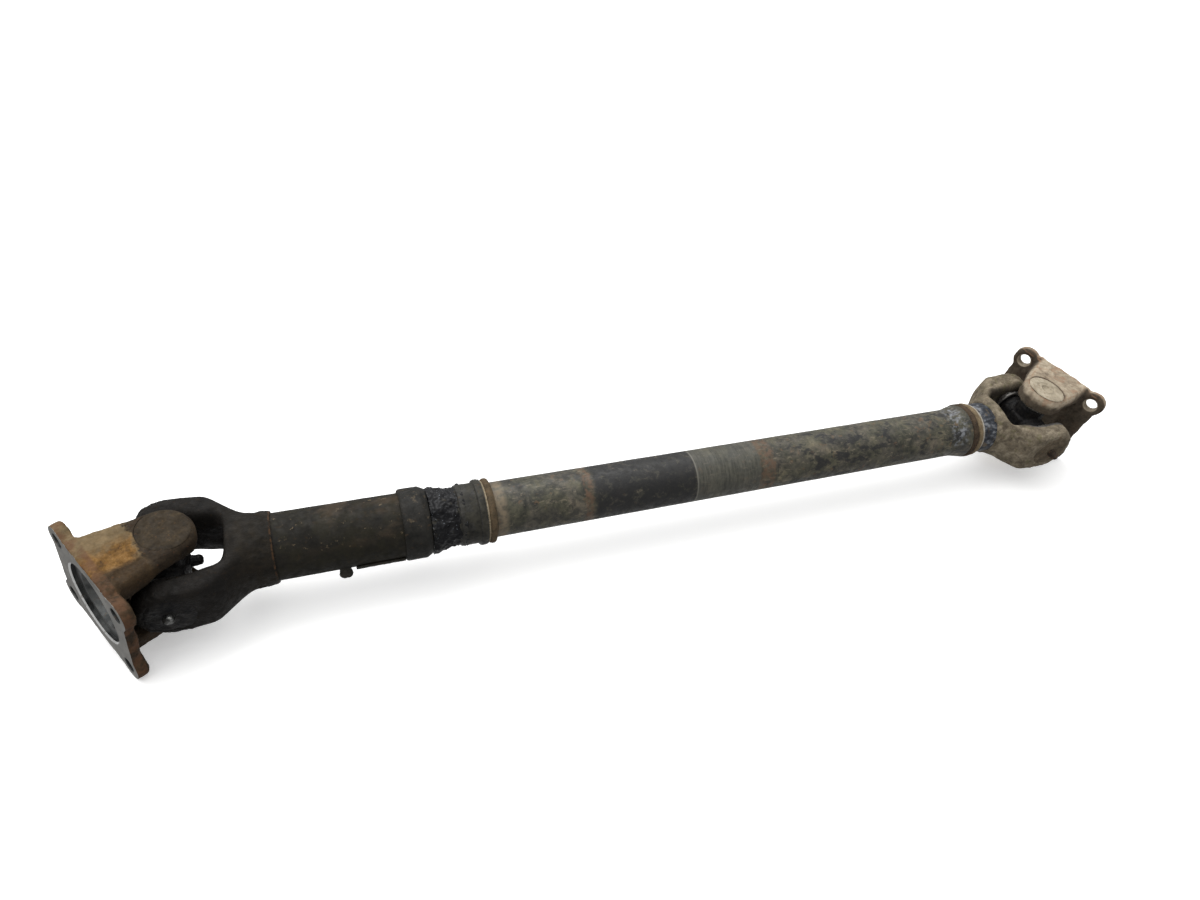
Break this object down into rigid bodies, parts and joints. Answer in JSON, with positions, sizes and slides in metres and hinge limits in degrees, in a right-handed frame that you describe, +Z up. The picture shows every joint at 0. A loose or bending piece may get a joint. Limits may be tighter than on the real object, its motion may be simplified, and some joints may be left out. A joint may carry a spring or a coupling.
{
  "type": "universal joint shaft",
  "caption": "Propeller shaft with a sliding spline sleeve, a welded tube, a cross joint at each end and square bolt flanges, both joints bent.",
  "frame": {"origin": "middle of the shaft's bounding box, on the floor under it", "axes": "+X along the shaft from the sliding-sleeve end to the welded-yoke end, +Y away from the side that shows the grease fittings, +Z up"},
  "size_m": [0.8684, 0.141, 0.0974],
  "materials": {
    "tube_paint": "worn black paint over rust",
    "greasy_iron": "greasy, dark brown",
    "rusty_iron": "forged skin with dry rust",
    "dusty_iron": "forged skin with dry dust",
    "weld": "rusted weld bead",
    "bearing_steel": "satin",
    "ground_steel": "ground",
    "rubber": "matte",
    "felt": "matte"
  },
  "bodies": {
    "shaft": {"tube": "tube_paint", "spline_stub": "greasy_iron", "stub_weld_bead": "weld", "yoke_weld_bead": "weld", "weld_yoke": "dusty_iron", "right_shaft_near_bearing_cup": "bearing_steel", "right_shaft_near_needle_set": "ground_steel", "right_shaft_near_trunnion_seal": "rubber", "right_shaft_near_snap_ring": "bearing_steel", "right_shaft_near_cup_grease_fitting": "ground_steel", "right_shaft_far_bearing_cup": "bearing_steel", "right_shaft_far_needle_set": "ground_steel", "right_shaft_far_trunnion_seal": "rubber", "right_shaft_far_snap_ring": "bearing_steel"},
    "slip": {"slip_yoke": "greasy_iron", "dust_cap": "greasy_iron", "dust_seal": "felt", "end_plug": "bearing_steel", "sleeve_grease_nipple": "ground_steel", "balance_weight": "greasy_iron", "left_shaft_near_bearing_cup": "bearing_steel", "left_shaft_near_needle_set": "ground_steel", "left_shaft_near_trunnion_seal": "rubber", "left_shaft_near_snap_ring": "bearing_steel", "left_shaft_near_cup_grease_fitting": "ground_steel", "left_shaft_far_bearing_cup": "bearing_steel", "left_shaft_far_needle_set": "ground_steel", "left_shaft_far_trunnion_seal": "rubber", "left_shaft_far_snap_ring": "bearing_steel"},
    "left_cross": {"left_cross": "ground_steel"},
    "left_flange": {"left_flange_yoke": "rusty_iron", "left_flange_upper_bearing_cup": "bearing_steel", "left_flange_upper_needle_set": "ground_steel", "left_flange_upper_trunnion_seal": "rubber", "left_flange_upper_snap_ring": "bearing_steel", "left_flange_lower_bearing_cup": "bearing_steel", "left_flange_lower_needle_set": "ground_steel", "left_flange_lower_trunnion_seal": "rubber", "left_flange_lower_snap_ring": "bearing_steel"},
    "right_cross": {"right_cross": "ground_steel"},
    "right_flange": {"right_flange_yoke": "dusty_iron", "right_flange_upper_bearing_cup": "bearing_steel", "right_flange_upper_needle_set": "ground_steel", "right_flange_upper_trunnion_seal": "rubber", "right_flange_upper_snap_ring": "bearing_steel", "right_flange_lower_bearing_cup": "bearing_steel", "right_flange_lower_needle_set": "ground_steel", "right_flange_lower_trunnion_seal": "rubber", "right_flange_lower_snap_ring": "bearing_steel"}
  },
  "joints": [
    {"name": "slip_slide", "type": "slide", "parent": "shaft", "child": "slip", "axis": [1, 0, 0], "range_m": [-0.03, 0.018]},
    {"name": "left_cross_on_shaft_yoke", "type": "hinge", "parent": "slip", "child": "left_cross", "pos_m": [-0.36485, 0.0005, 0.04946], "axis": [0, 0.9703, 0.2419], "range_deg": [-32.5, 19.5]},
    {"name": "left_flange_on_cross", "type": "hinge", "parent": "left_cross", "child": "left_flange", "pos_m": [-0.36485, 0.0005, 0.04946], "axis": [0.1132, -0.2404, 0.9641], "range_deg": [-61.3, 2.7]},
    {"name": "right_cross_on_shaft_yoke", "type": "hinge", "parent": "shaft", "child": "right_cross", "pos_m": [0.36515, 0.0005, 0.04946], "axis": [0, 0.9703, 0.2419], "range_deg": [-34.1, 17.9]},
    {"name": "right_flange_on_cross", "type": "hinge", "parent": "right_cross", "child": "right_flange", "pos_m": [0.36515, 0.0005, 0.04946], "axis": [0.1409, -0.2395, 0.9606], "range_deg": [-58.1, 5.9]}
  ]
}
